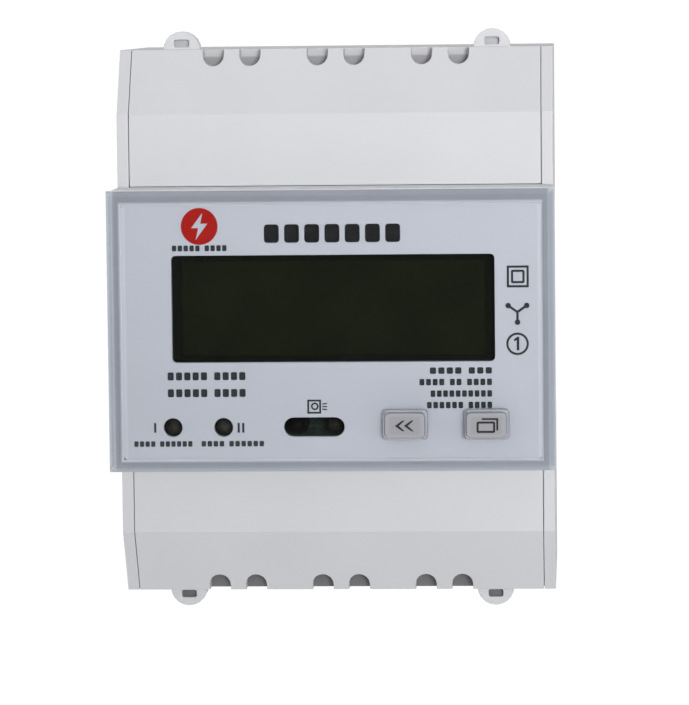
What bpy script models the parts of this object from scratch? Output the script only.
"""Four-module three-phase electricity meter for a DIN rail, modelled as separate parts.

X is the width, Z the height, and the front faces -Y. The origin is the middle of the face that
seats on the rail. Sizes below are in millimetres, and a depth is counted forward from the rail
seat, so depth d lies at y = -d. The helpers turn millimetres into Blender's metres.
"""

import math

import bmesh
import bpy
from mathutils import Matrix, Vector

MM = 0.001
GAP = 0.3
SEAM = 0.1

# Outer body
MODULE = 18.0
BODY_HALF_WIDTH = 2 * MODULE
BODY_HALF_HEIGHT = 45.35
BACK_DEPTH = -5.5
END_WALL_DEPTH = 33.2
LEDGE_HEIGHT = 42.4
COVER_END_DEPTH = 36.5
BEND_DEPTH = 43.2
BEND_HEIGHT = 34.72
CHEEK = 1.9
WALL = 2.0
INNER_HALF_WIDTH = BODY_HALF_WIDTH - CHEEK

# Rail seat, hooks and latch
RAIL_HALF_HEIGHT = 17.7
HOOK_X = 22.0
HOOK_HALF_WIDTH = 5.0
HOOK_TIP = 15.2
FLANGE_GAP_DEPTH = -1.3
LATCH_HALF_WIDTH = 6.0
LATCH_TIP = -15.7
LATCH_END = -49.5
LATCH_WINDOW = (-40.0, -24.0)
PEG_TOP = -37.5
PEG_HEIGHT = 2.0

# Front block
FRONT_HALF_HEIGHT = 22.8
FRONT_HALF_WIDTH = 35.9
FRONT_STEP_DEPTH = 43.5
FRONT_RIM_DEPTH = 55.9
PLATFORM_DEPTH = 54.0
FRONT_WALL = 1.6
CLEAR_HALF_WIDTH = 36.25
CLEAR_HALF_HEIGHT = 22.86
CLEAR_DEPTHS = (56.2, 59.0)
CLEAR_CHAMFER = 0.85
CLEAR_POCKET_DEPTH = 57.4

# Faceplate and what shows through it
PLATE_HALF_WIDTH = 34.0
PLATE_Z = (-20.95, 20.35)
PLATE_DEPTHS = (54.3, 55.5)
WINDOW_CENTRE = (0.25, 3.47)
WINDOW_SIZE = (52.5, 17.45)
PULSE_LAMPS = {"active_pulse_lamp": -26.03, "reactive_pulse_lamp": -17.76}
OPTICAL_LAMPS = {"optical_emitter": -6.1, "optical_receiver": 0.2}
LAMP_Z = -15.83
OPTICAL_CENTRE_X = -2.97
OPTICAL_SIZE = (9.9, 3.15)
KEYS = {"scroll": 11.86, "page": 25.07}
KEY_Z = -15.35
KEY_SIZE = (6.4, 4.0)
KEY_CAP_DEPTHS = (56.9, 59.5)
KEY_FLANGE_DEPTHS = (56.2, 57.1)
KEY_TRAVEL = 0.5
SWITCH_TOP = 51.0

# Terminals
POLE_PITCH = 17.33
POLES = {"l1": -1.5 * POLE_PITCH, "l2": -0.5 * POLE_PITCH, "l3": 0.5 * POLE_PITCH, "n": 1.5 * POLE_PITCH}
ENDS = {"upper": 1, "lower": -1}
AUX_CENTRES = (-POLE_PITCH, 0.0, POLE_PITCH)
AUX_OFFSET = 3.05
NOTCH_RADIUS = 1.75
NOTCH_LENGTH = 2.8
BLOCK_Z = (23.2, 43.05)
BLOCK_DEPTHS = (2.3, 31.0)
CAGE_Z = (28.0, 38.0)
CAGE_DEPTHS = (8.0, 21.0)
CAGE_HALF_WIDTH = 5.4
CAGE_WALL = 1.5
CAGE_TRAVEL = 6.4
WIRE_DEPTH = 13.3
SCREW_Z = 33.0
SCREW_HEAD_DEPTHS = (27.8, 30.6)
SCREW_TIP_DEPTH = 19.5
BUSBAR_DEPTHS = (17.0, 19.0)
AUX_SCREW_Z = -36.2

# Seal lugs
LUG_X = 25.9
LUG_Z = 45.25
LUG_RADIUS = 3.1
LUG_DEPTHS = (31.6, 33.0)
COVER_LUG_THICKNESS = 1.0

# Boards
METERING_DEPTHS = (33.0, 34.6)
DISPLAY_DEPTHS = (45.6, 47.2)
BOARD_HALF_HEIGHT = 20.7
POST_X = POLE_PITCH
POST_Z = 16.0
POST_RADIUS = 2.5

SIDES = (-1, 1)
ROUND_STEPS = 16
SHARP_ANGLE = math.radians(35)
FORWARD = Matrix.Rotation(math.pi / 2, 4, "X")
UPRIGHT = Matrix()

parts = None
helpers = None


# Scene and materials


def clear_scene():
    for obj in list(bpy.data.objects):
        bpy.data.objects.remove(obj)


def new_collection(name, hidden=False):
    collection = bpy.data.collections.new(name)
    collection.hide_render = hidden
    bpy.context.scene.collection.children.link(collection)
    return collection


def material(name, colour, roughness, metallic=0.0, alpha=1.0):
    made = bpy.data.materials.new(name)
    made.use_nodes = True
    shader = made.node_tree.nodes["Principled BSDF"]
    shader.inputs["Base Color"].default_value = (*colour, 1.0)
    shader.inputs["Roughness"].default_value = roughness
    shader.inputs["Metallic"].default_value = metallic
    shader.inputs["Alpha"].default_value = alpha
    made.diffuse_color = (*colour, alpha)
    return made


# Shapes: each helper below returns an object in the helpers collection


def helper(mesh):
    obj = bpy.data.objects.new("shape", mesh)
    obj.hide_render = True
    obj.display_type = "WIRE"
    helpers.objects.link(obj)
    return obj


def evaluated_mesh(obj):
    """The mesh that a curve's settings or an object's modifiers make. The object itself is removed."""
    graph = bpy.context.evaluated_depsgraph_get()
    mesh = bpy.data.meshes.new_from_object(obj.evaluated_get(graph))
    bpy.data.objects.remove(obj)
    return mesh


def box(x, z, depth):
    """A box from its low and high X, Z and depth."""
    shape = bmesh.new()
    bmesh.ops.create_cube(shape, size=1.0)
    size = Vector((x[1] - x[0], depth[1] - depth[0], z[1] - z[0]))
    centre = Vector((x[0] + x[1], -depth[0] - depth[1], z[0] + z[1])) / 2
    bmesh.ops.transform(shape, matrix=Matrix.Diagonal((*size, 1.0)), verts=shape.verts)
    bmesh.ops.translate(shape, vec=centre, verts=shape.verts)
    return from_bmesh(shape)


def rod(x, z, depth, radius, steps=ROUND_STEPS):
    """A cylinder along the one of x, z and depth that is a (low, high) pair."""
    shape = bmesh.new()
    ends = [value if isinstance(value, tuple) else (value, value) for value in (x, depth, z)]
    axis = max(range(3), key=lambda i: ends[i][1] - ends[i][0])
    length = ends[axis][1] - ends[axis][0]
    bmesh.ops.create_cone(
        shape, cap_ends=True, segments=steps, radius1=radius, radius2=radius, depth=length
    )
    turn = {0: Matrix.Rotation(math.pi / 2, 4, "Y"), 1: Matrix.Rotation(math.pi / 2, 4, "X"), 2: Matrix()}
    bmesh.ops.transform(shape, matrix=turn[axis], verts=shape.verts)
    middle = [(low + high) / 2 for low, high in ends]
    bmesh.ops.translate(shape, vec=Vector((middle[0], -middle[1], middle[2])), verts=shape.verts)
    return from_bmesh(shape)


def from_bmesh(shape):
    bmesh.ops.scale(shape, vec=Vector((MM, MM, MM)), verts=shape.verts)
    mesh = bpy.data.meshes.new("shape")
    shape.to_mesh(mesh)
    shape.free()
    return helper(mesh)


def extruded(outline, thickness, frame):
    """A flat outline in millimetres, made a solid centred on its own plane and placed by frame."""
    curve = bpy.data.curves.new("outline", "CURVE")
    curve.dimensions = "2D"
    curve.fill_mode = "BOTH"
    curve.extrude = thickness * MM / 2
    spline = curve.splines.new("POLY")
    spline.points.add(len(outline) - 1)
    for point, (u, v) in zip(spline.points, outline):
        point.co = (u * MM, v * MM, 0.0, 1.0)
    spline.use_cyclic_u = True
    drawn = bpy.data.objects.new("outline", curve)
    helpers.objects.link(drawn)
    mesh = evaluated_mesh(drawn)
    shape = bmesh.new()
    shape.from_mesh(mesh)
    bmesh.ops.remove_doubles(shape, verts=shape.verts, dist=1e-6)
    bmesh.ops.dissolve_limit(shape, angle_limit=0.01, verts=shape.verts, edges=shape.edges)
    bmesh.ops.transform(shape, matrix=frame, verts=shape.verts)
    bmesh.ops.recalc_face_normals(shape, faces=shape.faces)
    shape.to_mesh(mesh)
    shape.free()
    return helper(mesh)


def plate(outline, depth):
    """An outline of (x, z) points seen from the front, solid between two depths."""
    frame = Matrix(((1, 0, 0, 0), (0, 0, -1, -MM * sum(depth) / 2), (0, 1, 0, 0), (0, 0, 0, 1)))
    return extruded(outline, depth[1] - depth[0], frame)


def prism(outline, x):
    """An outline of (depth, z) points seen from the side, solid between two values of X."""
    frame = Matrix(((0, 0, -1, MM * sum(x) / 2), (-1, 0, 0, 0), (0, 1, 0, 0), (0, 0, 0, 1)))
    return extruded(outline, x[1] - x[0], frame)


def rounded(centre, size, radius, steps=4):
    """The outline of a rectangle with round corners."""
    points = []
    for turn, (across, up) in enumerate(((1, 1), (-1, 1), (-1, -1), (1, -1))):
        corner = (centre[0] + across * (size[0] / 2 - radius), centre[1] + up * (size[1] / 2 - radius))
        for step in range(steps + 1):
            angle = math.pi / 2 * (turn + step / steps)
            points.append((corner[0] + radius * math.cos(angle), corner[1] + radius * math.sin(angle)))
    if 2 * radius >= size[1]:
        points = [p for i, p in enumerate(points) if math.dist(p, points[i - 1]) > 1e-6]
    return points


def arched(x, z, radius, end_z, steps=8):
    """The outline of a slot with one round end at (x, z), which opens towards end_z."""
    towards = math.copysign(1, end_z - z)
    angles = [math.pi * step / steps for step in range(steps + 1)]
    arc = [(x + radius * math.cos(a), z - towards * radius * math.sin(a)) for a in angles]
    return arc + [(x - radius, end_z), (x + radius, end_z)]


def turned(profile, steps, turn=FORWARD):
    """A solid turned about its own axis from a profile of (radius, height), highest point first.

    A profile that starts off the axis is a closed section, which makes a ring.
    """
    corners = [(radius * MM, 0.0, height * MM) for radius, height in profile]
    edges = [(i, i + 1) for i in range(len(corners) - 1)]
    if profile[0][0] > 0:
        edges.append((len(corners) - 1, 0))
    outline = bpy.data.meshes.new("profile")
    outline.from_pydata(corners, edges, [])
    drawn = helper(outline)
    screw = drawn.modifiers.new("turn", "SCREW")
    screw.steps = screw.render_steps = steps
    screw.use_merge_vertices = True
    screw.merge_threshold = 0.00005
    mesh = evaluated_mesh(drawn)
    mesh.transform(turn)
    mesh.shade_smooth()
    mesh.set_sharp_from_angle(angle=SHARP_ANGLE)
    return helper(mesh)


def group(shapes):
    """One helper from several that do not touch."""
    joined = bmesh.new()
    for shape in shapes:
        joined.from_mesh(shape.data)
        bpy.data.objects.remove(shape)
    mesh = bpy.data.meshes.new("shape")
    joined.to_mesh(mesh)
    joined.free()
    return helper(mesh)


# Parts: each is a shape that is given a name and a material, then cut and joined


def part(name, shape, finish):
    helpers.objects.unlink(shape)
    parts.objects.link(shape)
    shape.name = shape.data.name = name
    shape.hide_render = False
    shape.display_type = "TEXTURED"
    shape.data.materials.append(finish)
    return shape


def boolean(obj, other, operation):
    change = obj.modifiers.new(operation.lower(), "BOOLEAN")
    change.operation = operation
    change.object = other


def cut(obj, *shapes):
    for shape in shapes:
        boolean(obj, shape, "DIFFERENCE")


def join(obj, *shapes):
    for shape in shapes:
        boolean(obj, shape, "UNION")


def turned_part(name, x, z, profile, steps, finish):
    """A turned part whose axis points forward through (x, z)."""
    obj = part(name, turned(profile, steps), finish)
    obj.location = Vector((x, 0, z)) * MM
    return obj


def set_origin(obj, x, z, depth):
    """Puts the object's origin on its joint's axis and leaves its surface where it is."""
    origin = Vector((x, -depth, z)) * MM
    obj.data.transform(Matrix.Translation(-origin))
    obj.location = origin


def span(end, low, high):
    """The (low, high) Z of a stretch that lies between two heights at the upper or lower end."""
    return tuple(sorted((end * low, end * high)))


# Housing


def base_profile():
    half, end, bend = BODY_HALF_HEIGHT, COVER_END_DEPTH, BEND_DEPTH
    upper = [(BACK_DEPTH, half), (end, half), (bend, BEND_HEIGHT)]
    return upper + [(depth, -z) for depth, z in reversed(upper)]


def lug_outline(x, end):
    angles = [math.pi * step / 10 for step in range(11)]
    arc = [(x + LUG_RADIUS * math.cos(a), end * (LUG_Z + LUG_RADIUS * math.sin(a))) for a in angles]
    root = end * (LUG_Z - 1.0)
    return arc + [(x - LUG_RADIUS, root), (x + LUG_RADIUS, root)]


def lug_hole(x, end, width):
    return rounded((x, end * 46.33), (width, 1.25), 0.3, steps=2)


def base_housing(finish):
    full = (-BODY_HALF_WIDTH - 1, BODY_HALF_WIDTH + 1)
    inner = (-INNER_HALF_WIDTH, INNER_HALF_WIDTH)
    end_inner = BODY_HALF_HEIGHT - WALL
    base = part("base_housing", prism(base_profile(), (-BODY_HALF_WIDTH, BODY_HALF_WIDTH)), finish)
    cut(base, box(inner, (-end_inner, end_inner), (WALL, 60)))
    cut(base, box(inner, (-50, 50), (END_WALL_DEPTH, 60)))
    ledges = [span(end, LEDGE_HEIGHT, end_inner + 0.5) for end in SIDES]
    join(base, group([box(inner, z, (BLOCK_DEPTHS[1] + GAP, END_WALL_DEPTH)) for z in ledges]))
    lobes = [span(end, RAIL_HALF_HEIGHT + WALL, end_inner) for end in SIDES]
    cut(base, group([box(inner, z, (BACK_DEPTH + WALL, WALL + 0.5)) for z in lobes]))
    cut(base, box(full, (-RAIL_HALF_HEIGHT, RAIL_HALF_HEIGHT), (BACK_DEPTH - 1, 0)))
    add_rail_hooks(base)
    add_latch_channel(base)
    post = (WALL - 1, METERING_DEPTHS[0] - GAP)
    corners = [(x * POST_X, z * POST_Z) for x in SIDES for z in SIDES]
    join(base, group([rod(x, z, post, POST_RADIUS) for x, z in corners]))
    cut(base, group([rod(x * POST_X, POST_Z, (22, 34), 1.05, 10) for x in SIDES]))
    for end in SIDES:
        through = span(end, end_inner - 0.5, BODY_HALF_HEIGHT + 0.5)
        cut(base, group([rod(x, through, WIRE_DEPTH, 4.2) for x in POLES.values()]))
    lugs = [(x * LUG_X, end) for x in SIDES for end in SIDES]
    join(base, group([plate(lug_outline(x, end), LUG_DEPTHS) for x, end in lugs]))
    cut(base, group([plate(lug_hole(x + 1.75, end, 0.9), (30, 34)) for x, end in lugs]))


def add_rail_hooks(base):
    edge = RAIL_HALF_HEIGHT
    places = [x * HOOK_X for x in SIDES]
    hook = (-3.8, FLANGE_GAP_DEPTH)
    hooks = [box((x - HOOK_HALF_WIDTH, x + HOOK_HALF_WIDTH), (HOOK_TIP, edge + 1), hook) for x in places]
    join(base, group(hooks))
    relief = HOOK_HALF_WIDTH + 0.2
    pockets = [box((x - relief, x + relief), (HOOK_TIP - 0.2, edge), (-0.5, 0.8)) for x in places]
    nose_half = LATCH_HALF_WIDTH + 0.8
    pockets.append(box((-nose_half, nose_half), (-edge, LATCH_TIP + 0.5), (-0.5, 0.8)))
    cut(base, group(pockets))


def add_latch_channel(base):
    """A boss in the lower lobe with a T-shaped channel, and the peg that the spring pushes on."""
    join(base, box((-9.6, 9.6), (-BODY_HALF_HEIGHT + 0.8, -RAIL_HALF_HEIGHT - 0.8), (BACK_DEPTH + 1, 0.8)))
    cut(base, box((-LATCH_HALF_WIDTH - 0.4, LATCH_HALF_WIDTH + 0.4), (-55, -17), (-7, -1.2)))
    cut(base, box((-7.8, 7.8), (-55, -21.5), (-3.9, -2.1)))
    join(base, box((-1.8, 1.8), (PEG_TOP - PEG_HEIGHT, PEG_TOP), (-4.6, -0.4)))


def front_housing(finish):
    half = FRONT_HALF_HEIGHT
    skirt = INNER_HALF_WIDTH - GAP
    inner_x = skirt - 1.5
    front = part(
        "front_housing",
        box((-FRONT_HALF_WIDTH, FRONT_HALF_WIDTH), (-half, half), (FRONT_STEP_DEPTH, FRONT_RIM_DEPTH)),
        finish,
    )
    join(front, box((-skirt, skirt), (-half, half), (31.4, FRONT_STEP_DEPTH + 0.5)))
    upper = FRONT_HALF_WIDTH - FRONT_WALL
    inner_z = (-half + 1.5, half - 1.5)
    cut(front, box((-inner_x, inner_x), inner_z, (30, PLATFORM_DEPTH - 1.5)))
    cut(front, box((-upper, upper), inner_z, (45.1, PLATFORM_DEPTH - 1.5)))
    recess = PLATE_HALF_WIDTH + SEAM
    cut(front, box((-recess, recess), (PLATE_Z[0] - SEAM, PLATE_Z[1] + SEAM), (PLATFORM_DEPTH, 60)))
    through = (PLATFORM_DEPTH - 2, PLATFORM_DEPTH + 1)
    size = (WINDOW_SIZE[0] + 3.5, WINDOW_SIZE[1] + 3.2)
    openings = [plate(rounded(WINDOW_CENTRE, size, 0.8, 1), through)]
    openings += [rod(x, LAMP_Z, through, 2.1) for x in PULSE_LAMPS.values()]
    openings += [plate(rounded((OPTICAL_CENTRE_X, LAMP_Z), (11.0, 4.4), 1.0, 2), through)]
    openings += [plate(rounded((x, KEY_Z), (5.4, 3.4), 0.4, 2), through) for x in KEYS.values()]
    cut(front, group(openings))


def clear_cover(finish):
    width, height = CLEAR_HALF_WIDTH, CLEAR_HALF_HEIGHT
    shape = box((-width, width), (-height, height), CLEAR_DEPTHS)
    solid = bmesh.new()
    solid.from_mesh(shape.data)
    front = -CLEAR_DEPTHS[1] * MM
    edges = [e for e in solid.edges if all(abs(v.co.y - front) < 1e-6 for v in e.verts)]
    bmesh.ops.bevel(solid, geom=edges, offset=CLEAR_CHAMFER * MM, segments=1, affect="EDGES")
    solid.to_mesh(shape.data)
    solid.free()
    cover = part("clear_cover", shape, finish)
    pocket_x = PLATE_HALF_WIDTH + 0.05
    cut(cover, box((-pocket_x, pocket_x), (PLATE_Z[0] - 0.05, PLATE_Z[1] + 0.05), (50, CLEAR_POCKET_DEPTH)))
    size = (KEY_SIZE[0] + 0.5, KEY_SIZE[1] + 0.5)
    cut(cover, group([plate(rounded((x, KEY_Z), size, 0.8, 3), (56, 60)) for x in KEYS.values()]))


def faceplate(finish):
    centre_z = sum(PLATE_Z) / 2
    size = (2 * PLATE_HALF_WIDTH, PLATE_Z[1] - PLATE_Z[0])
    face = part("faceplate", plate(rounded((0, centre_z), size, 0.5, 2), PLATE_DEPTHS), finish)
    through = (PLATE_DEPTHS[0] - 1, PLATE_DEPTHS[1] + 1)
    openings = [plate(rounded(WINDOW_CENTRE, WINDOW_SIZE, 0.7, 3), through)]
    openings += [rod(x, LAMP_Z, through, 1.55, 20) for x in PULSE_LAMPS.values()]
    slot = rounded((OPTICAL_CENTRE_X, LAMP_Z), OPTICAL_SIZE, OPTICAL_SIZE[1] / 2, 6)
    openings += [plate(slot, through)]
    openings += [plate(rounded((x, KEY_Z), (5.4, 3.4), 0.4, 2), through) for x in KEYS.values()]
    cut(face, group(openings))


def cover_outer(end):
    half = BODY_HALF_HEIGHT
    inner_edge = FRONT_HALF_HEIGHT + SEAM
    rear = END_WALL_DEPTH + GAP
    points = [(BEND_DEPTH, inner_edge), (BEND_DEPTH, BEND_HEIGHT), (COVER_END_DEPTH, half), (rear, half)]
    return [(depth, end * z) for depth, z in points + [(rear, inner_edge)]]


def cover_inner(end, wall):
    """The hollow of a cover: its outer profile moved in by the wall, and open at the back."""
    slope = math.atan2(BEND_DEPTH - COVER_END_DEPTH, BODY_HALF_HEIGHT - BEND_HEIGHT)
    front = BEND_DEPTH - wall
    near, far = FRONT_HALF_HEIGHT + SEAM + wall, BODY_HALF_HEIGHT - wall
    bend = BEND_HEIGHT - wall * math.tan(slope / 2)
    corner = COVER_END_DEPTH - wall * math.tan((math.pi / 2 - slope) / 2)
    points = [(front, near), (front, bend), (corner, far), (30, far), (30, near)]
    return [(depth, end * z) for depth, z in points]


def terminal_cover(name, end, finish):
    half = INNER_HALF_WIDTH - SEAM
    cover = part(name, prism(cover_outer(end), (-half, half)), finish)
    cut(cover, prism(cover_inner(end, FRONT_WALL), (-half + FRONT_WALL, half - FRONT_WALL)))
    notch_z = end * (BODY_HALF_HEIGHT - NOTCH_LENGTH + NOTCH_RADIUS)
    notches = [x + side * AUX_OFFSET for x in AUX_CENTRES for side in SIDES]
    cut(cover, group([plate(arched(x, notch_z, NOTCH_RADIUS, end * 48), (32, 46)) for x in notches]))
    lug_rear = END_WALL_DEPTH + GAP
    lug_depths = (lug_rear, lug_rear + COVER_LUG_THICKNESS)
    join(cover, group([plate(lug_outline(x * LUG_X, end), lug_depths) for x in SIDES]))
    cut(cover, group([plate(lug_hole(x * LUG_X, end, 2.45), (32, 36.6)) for x in SIDES]))
    set_origin(cover, 0, end * (BODY_HALF_HEIGHT + FRONT_HALF_HEIGHT) / 2, BEND_DEPTH)


def rail_latch(finish):
    latch = part("rail_latch", prism(latch_profile(), (-LATCH_HALF_WIDTH, LATCH_HALF_WIDTH)), finish)
    join(latch, box((-7.4, 7.4), (-44, -26), (-3.6, -2.4)))
    cut(latch, box((-2.6, 2.6), LATCH_WINDOW, (-7, 0)))
    cut(latch, box((-2.5, 2.5), (-48.5, -47.1), (-7, 0)))
    set_origin(latch, 0, LATCH_TIP, -3)


def latch_profile():
    """The plate from the side: a hooked tip with a ramp that rides over the rail's flange."""
    return [(-4.9, LATCH_END), (-1.9, LATCH_END), (-1.9, -19.5), (-1.4, -19.0), (-1.4, LATCH_TIP),
            (-2.2, LATCH_TIP), (-4.9, -18.2)]


def latch_spring(finish):
    """A coil along Z between the peg and the upper edge of the latch's window."""
    turns, radius, wire, per_turn = 7, 1.25, 0.25, 10
    low, high = PEG_TOP + GAP + wire, LATCH_WINDOW[1] - GAP - wire
    curve = bpy.data.curves.new("coil", "CURVE")
    curve.dimensions = "3D"
    curve.bevel_depth = wire * MM
    curve.bevel_resolution = 1
    curve.use_fill_caps = True
    count = turns * per_turn
    spline = curve.splines.new("POLY")
    spline.points.add(count)
    for step, point in enumerate(spline.points):
        angle = 2 * math.pi * step / per_turn
        z = low + (high - low) * step / count
        point.co = (radius * MM * math.cos(angle), (3.2 + radius * math.sin(angle)) * MM, z * MM, 1.0)
    coil = bpy.data.objects.new("latch_spring", curve)
    curve.materials.append(finish)
    parts.objects.link(coil)


# Display


def display_parts(colours):
    size = (WINDOW_SIZE[0] + 2.7, WINDOW_SIZE[1] + 2.4)
    outline = rounded(WINDOW_CENTRE, size, 0.4, 1)
    part("lcd_panel", plate(outline, (51.2, 53.7)), colours["lcd_glass"])
    light = part("lcd_backlight", plate(outline, (47.5, 50.9)), colours["white"])
    cut(light, box((-20, 20), (-3, 10), (46, 48.3)))
    board = box((-33.9, 33.9), (-BOARD_HALF_HEIGHT, BOARD_HALF_HEIGHT), DISPLAY_DEPTHS)
    part("display_board", board, colours["board"])
    for name, x in PULSE_LAMPS.items():
        lamp(name, x, 54.0, colours["lamp_red"])
    for name, x in OPTICAL_LAMPS.items():
        lamp(name, x, 52.6, colours["lamp_dark"])


def lamp(name, x, tip, finish):
    """A 3 mm lamp: a flange on the board, a straight body and a domed tip."""
    base = DISPLAY_DEPTHS[1] + GAP
    radius = 1.5
    dome = [(radius * math.sin(a), tip - radius + radius * math.cos(a)) for a in (0, 0.5, 1.05)]
    profile = dome + [(radius, tip - radius), (radius, base + 1), (1.9, base + 1), (1.9, base), (0, base)]
    turned_part(name, x, LAMP_Z, profile, 12, finish)


def key(name, x, finish):
    cap = part(name + "_key", plate(rounded((x, KEY_Z), KEY_SIZE, 0.7, 3), KEY_CAP_DEPTHS), finish)
    flange = (KEY_SIZE[0] + 1.0, KEY_SIZE[1] + 1.0)
    join(cap, plate(rounded((x, KEY_Z), flange, 0.7, 2), KEY_FLANGE_DEPTHS))
    stem = (SWITCH_TOP + KEY_TRAVEL + 0.1, KEY_CAP_DEPTHS[0])
    join(cap, box((x - 2.3, x + 2.3), (KEY_Z - 1.3, KEY_Z + 1.3), stem))
    set_origin(cap, x, KEY_Z, KEY_CAP_DEPTHS[1])


def push_switch(name, x, finish):
    base = DISPLAY_DEPTHS[1] + GAP
    body = part(name + "_switch", box((x - 3, x + 3), (KEY_Z - 3, KEY_Z + 3), (base, base + 2.7)), finish)
    join(body, rod(x, KEY_Z, (base + 2, SWITCH_TOP), 1.7, 12))


# Metering electronics


def metering_parts(colours):
    half_x = 31.9
    height = (-BOARD_HALF_HEIGHT, BOARD_HALF_HEIGHT)
    board = part("metering_board", box((-half_x, half_x), height, METERING_DEPTHS), colours["board"])
    cut(board, group([rod(x * POST_X, POST_Z, (32, 36), 1.3, 10) for x in SIDES]))
    front = METERING_DEPTHS[1] + GAP
    for side, x in (("left", -POST_X), ("right", POST_X)):
        profile = [(0, 36.4), (1.9, 36.4), (2.2, 36.1), (2.2, front), (0.8, front), (0.8, 26.5), (0, 26)]
        screw = turned_part(f"board_screw_{side}", x, POST_Z, profile, 10, colours["steel"])
        cut(screw, *cross_recess(x, POST_Z, 2.6, 0.7, (35.6, 37)))
    core = part("supply_transformer", box((-27.5, -13.5), (-3, 9), (front, 36.5)), colours["dark"])
    join(core, box((-27.5, -13.5), (0, 6), (36, 44.5)), rod((-25.5, -15.5), 3.0, 40.2, 3.9, 12))
    can = [(0, 44.8), (3.6, 44.8), (4, 44.4), (4, front), (0, front)]
    turned_part("supply_capacitor", -4, 6, can, 12, colours["sleeve"])
    cell = [(0, 39.4), (7.7, 39.4), (8, 39.1), (8, front), (0, front)]
    turned_part("backup_battery", 17, -5, cell, 20, colours["steel"])
    part("board_header", box((-10, 10), (-19, -14.5), (front, DISPLAY_DEPTHS[0] - GAP)), colours["dark"])


def current_transformer(name, x, finish):
    """A ring round a busbar, with its axis along Z."""
    outer, inner, half, chamfer = 7.8, 4.1, 5.0, 0.8
    section = [(inner, half), (outer - chamfer, half), (outer, half - chamfer),
               (outer, chamfer - half), (outer - chamfer, -half), (inner, -half)]
    ring = part(name, turned(section, 20, UPRIGHT), finish)
    ring.location = Vector((x, -sum(BUSBAR_DEPTHS) / 2, 0)) * MM


def busbar(name, x, finish):
    part(name, box((x - 3, x + 3), (-36, 36), BUSBAR_DEPTHS), finish)


# Terminals


def terminal_block(name, end, finish):
    block = part(name, box((-33.7, 33.7), span(end, *BLOCK_Z), BLOCK_DEPTHS), finish)
    half = CAGE_HALF_WIDTH + GAP
    chamber = span(end, CAGE_Z[0] - GAP, CAGE_Z[1] + GAP)
    top = CAGE_DEPTHS[1] + CAGE_TRAVEL + 0.2
    places = POLES.values()
    cut(block, group([box((x - half, x + half), chamber, (0, top)) for x in places]))
    cut(block, group([rod(x, end * SCREW_Z, (top - 1, 33), 3.8) for x in places]))
    cut(block, group([rod(x, span(end, 37, 45), WIRE_DEPTH, 3.8) for x in places]))
    slot_depths = (BUSBAR_DEPTHS[0] - GAP, BUSBAR_DEPTHS[1] + GAP)
    cut(block, group([box((x - 3.3, x + 3.3), span(end, 22, 29), slot_depths) for x in places]))


def cage(name, x, end, finish):
    half = CAGE_HALF_WIDTH
    z = span(end, *CAGE_Z)
    obj = part(name, box((x - half, x + half), z, CAGE_DEPTHS), finish)
    window = (CAGE_DEPTHS[0] + CAGE_WALL, CAGE_DEPTHS[1] - 1.7)
    cut(obj, box((x - half + CAGE_WALL, x + half - CAGE_WALL), (z[0] - 1, z[1] + 1), window))
    cut(obj, rod(x, end * SCREW_Z, (18, 23), 2.75, 12))
    set_origin(obj, x, end * SCREW_Z, sum(CAGE_DEPTHS) / 2)


def cross_recess(x, z, length, width, depth):
    """Two slots that cross at (x, z)."""
    far, near = length / 2, width / 2
    level = box((x - far, x + far), (z - near, z + near), depth)
    upright = box((x - near, x + near), (z - far, z + far), depth)
    return level, upright


def terminal_screw(name, x, end, finish):
    under, top = SCREW_HEAD_DEPTHS
    tip = SCREW_TIP_DEPTH
    head = [(0, top), (3.1, top), (3.5, top - 0.4), (3.5, under)]
    shank = [(2.5, under), (2.5, tip + 0.5), (2.0, tip), (0, tip)]
    screw = turned_part(name, x, end * SCREW_Z, head + shank, 12, finish)
    cut(screw, *cross_recess(x, end * SCREW_Z, 4.4, 1.1, (top - 1.3, top + 1)))


def auxiliary_terminal(finish):
    """Three two-way terminals on one web, between the main screws of the lower end."""
    web = part("auxiliary_terminal", box((-22, 22), (-41.5, -39), (31.3, 32.8)), finish)
    join(web, group([box((x - 4.75, x + 4.75), (-41.5, -32.5), (31.3, 36.6)) for x in AUX_CENTRES]))
    places = [x + side * AUX_OFFSET for x in AUX_CENTRES for side in SIDES]
    cut(web, group([rod(x, (-42.5, -35.8), 33.2, 1.1, 10) for x in places]))
    cut(web, group([rod(x, AUX_SCREW_Z, (34.0, 37.5), 1.4, 10) for x in places]))


def auxiliary_screw(name, x, finish):
    profile = [(0, 36.3), (1.15, 36.3), (1.15, 34.6), (0, 34.6)]
    screw = turned_part(name, x, AUX_SCREW_Z, profile, 10, finish)
    cut(screw, box((x - 1.5, x + 1.5), (AUX_SCREW_Z - 0.25, AUX_SCREW_Z + 0.25), (35.8, 37)))


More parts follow.
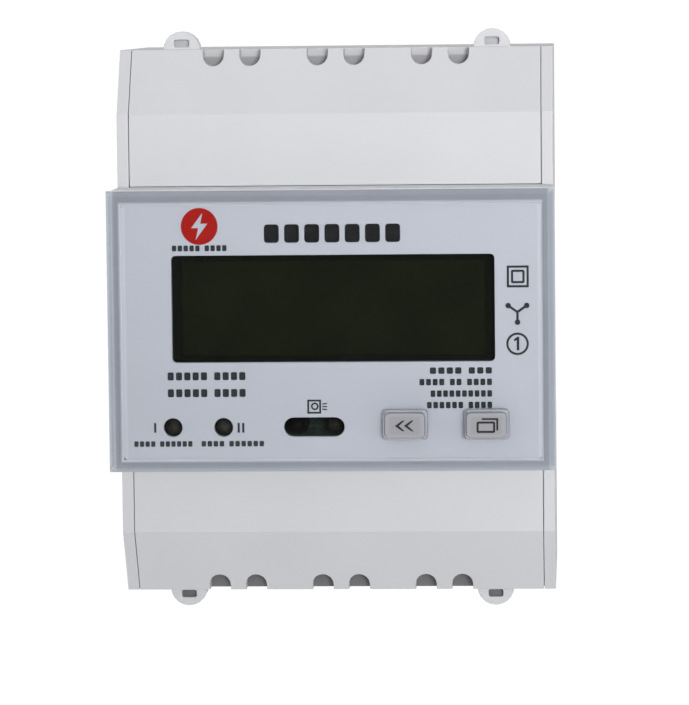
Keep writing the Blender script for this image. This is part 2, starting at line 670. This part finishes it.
def terminals(colours):
    for side, end in ENDS.items():
        terminal_block(f"{side}_terminal_block", end, colours["block"])
        for pole, x in POLES.items():
            cage(f"{side}_{pole}_cage", x, end, colours["zinc"])
            terminal_screw(f"{side}_{pole}_screw", x, end, colours["steel"])
    for pole, x in POLES.items():
        busbar(f"{pole}_busbar", x, colours["copper"])
        if pole != "n":
            current_transformer(f"{pole}_current_transformer", x, colours["dark"])
    auxiliary_terminal(colours["block"])
    places = [x + side * AUX_OFFSET for x in AUX_CENTRES for side in SIDES]
    for number, x in enumerate(places, 1):
        auxiliary_screw(f"auxiliary_screw_{number}", x, colours["steel"])


def materials():
    return {
        "housing": material("housing_plastic", (0.63, 0.65, 0.66), 0.45),
        "clear": material("clear_plastic", (0.62, 0.68, 0.76), 0.08, alpha=0.35),
        "print": material("faceplate_print", (0.56, 0.59, 0.68), 0.4),
        "key": material("key_plastic", (0.5, 0.52, 0.58), 0.35),
        "lcd_glass": material("lcd_glass", (0.014, 0.016, 0.009), 0.12),
        "white": material("white_plastic", (0.8, 0.8, 0.78), 0.4),
        "board": material("circuit_board", (0.01, 0.1, 0.04), 0.4),
        "lamp_red": material("lamp_red", (0.12, 0.02, 0.015), 0.12),
        "lamp_dark": material("lamp_dark", (0.012, 0.01, 0.012), 0.1),
        "block": material("block_plastic", (0.42, 0.43, 0.43), 0.5),
        "dark": material("dark_plastic", (0.03, 0.03, 0.035), 0.5),
        "sleeve": material("capacitor_sleeve", (0.02, 0.03, 0.12), 0.35),
        "steel": material("zinc_plated_steel", (0.62, 0.62, 0.6), 0.3, metallic=1.0),
        "zinc": material("nickel_plated_brass", (0.66, 0.62, 0.5), 0.3, metallic=1.0),
        "copper": material("copper", (0.72, 0.38, 0.22), 0.3, metallic=1.0),
        "latch": material("latch_plastic", (0.08, 0.085, 0.09), 0.45),
    }


def build():
    colours = materials()
    base_housing(colours["housing"])
    front_housing(colours["housing"])
    clear_cover(colours["clear"])
    faceplate(colours["print"])
    for side, end in ENDS.items():
        terminal_cover(f"{side}_terminal_cover", end, colours["housing"])
    rail_latch(colours["latch"])
    latch_spring(colours["steel"])
    display_parts(colours)
    for name, x in KEYS.items():
        key(name, x, colours["key"])
        push_switch(name, x, colours["dark"])
    metering_parts(colours)
    terminals(colours)


clear_scene()
parts = new_collection("electricity_meter")
helpers = new_collection("cutters", hidden=True)
build()
